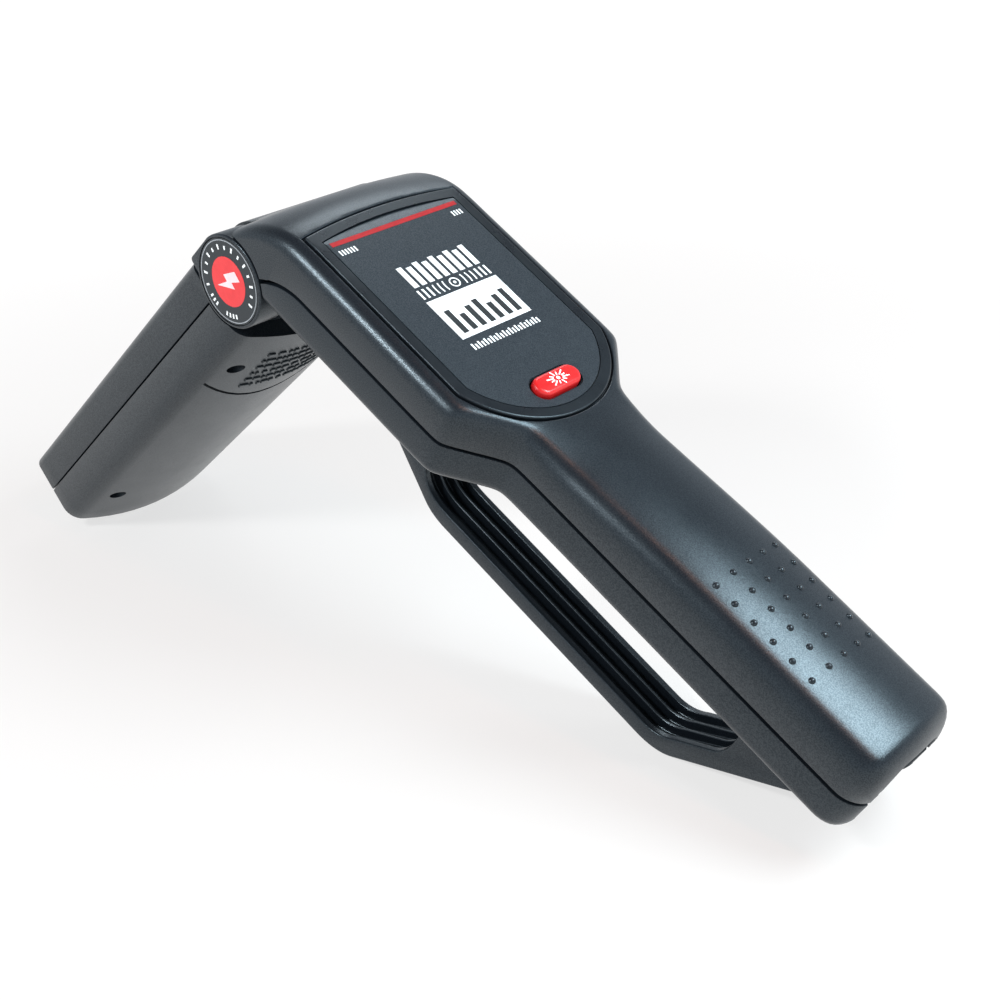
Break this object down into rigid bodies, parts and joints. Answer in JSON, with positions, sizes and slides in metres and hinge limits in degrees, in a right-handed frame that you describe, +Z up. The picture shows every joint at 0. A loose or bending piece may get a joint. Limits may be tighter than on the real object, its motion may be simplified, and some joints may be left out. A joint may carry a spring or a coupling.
{
  "type": "timing light",
  "caption": "Folding hand-held strobe for checking ignition timing, with a guarded pistol grip, label panel, push button and hinged lamp barrel.",
  "frame": {"origin": "middle of the footprint, on the surface the folded tool stands on", "axes": "+X from the lamp barrel's tip towards the grip's end, +Y across the tool towards its right side, +Z up"},
  "size_m": [0.3512, 0.0704, 0.1427],
  "materials": {
    "case": "fine satin grain on black moulded plastic",
    "plate": "smooth black plastic",
    "film": "fine textured label film with red and white print",
    "button": "smooth red plastic",
    "dark": "plain dark plastic",
    "sleeve": "shrink sleeve",
    "board": "green solder mask",
    "winding": "varnished copper wire",
    "wire": "soft red insulation",
    "contact": "bright",
    "steel": "zinc plated",
    "washer": "matt",
    "lens": "clear moulded lens",
    "tube": "clear flash tube",
    "seal": "matt",
    "mirror": "bright reflector"
  },
  "bodies": {
    "handle": {"handle_rear_shell": "case", "handle_front_shell": "case", "hand_guard": "case", "panel_plate": "plate", "panel_overlay": "film", "switch_body": "dark", "control_board": "board", "inverter_core": "dark", "inverter_winding": "winding", "power_transistor": "dark", "storage_capacitor": "sleeve", "lead_socket": "dark", "supply_leads": "wire", "socket_contact_1": "contact", "socket_contact_2": "contact", "socket_contact_3": "contact", "socket_contact_4": "contact", "handle_screw_1": "steel", "handle_screw_2": "steel", "handle_screw_3": "steel", "handle_screw_4": "steel", "guard_screw_1": "steel", "guard_screw_2": "steel", "board_screw_1": "steel", "board_screw_2": "steel", "hinge_pin_left": "steel", "hinge_pin_right": "steel", "friction_washer_left": "washer", "friction_washer_right": "washer"},
    "button": {"flash_button": "button", "switch_plunger": "dark"},
    "barrel": {"barrel_upper_shell": "case", "barrel_lower_shell": "case", "lens": "lens", "lens_gasket": "seal", "reflector": "mirror", "xenon_tube": "tube", "tube_board": "board", "trigger_coil": "winding", "lamp_leads": "wire", "hinge_label_left": "plate", "hinge_label_right": "plate", "tube_clip_left": "steel", "tube_clip_right": "steel", "barrel_screw_1": "steel", "barrel_screw_2": "steel", "barrel_screw_3": "steel", "barrel_screw_4": "steel"}
  },
  "joints": [
    {"name": "barrel_fold", "type": "hinge", "parent": "handle", "child": "barrel", "pos_m": [-0.03394, 0, 0.12242], "axis": [0, 1, 0], "range_deg": [0, 70]},
    {"name": "button_press", "type": "slide", "parent": "handle", "child": "button", "axis": [-0.5135, 0, -0.8581], "range_m": [0, 0.0012], "stiffness_N_per_m": 1500, "springref_m": -0.0006}
  ]
}
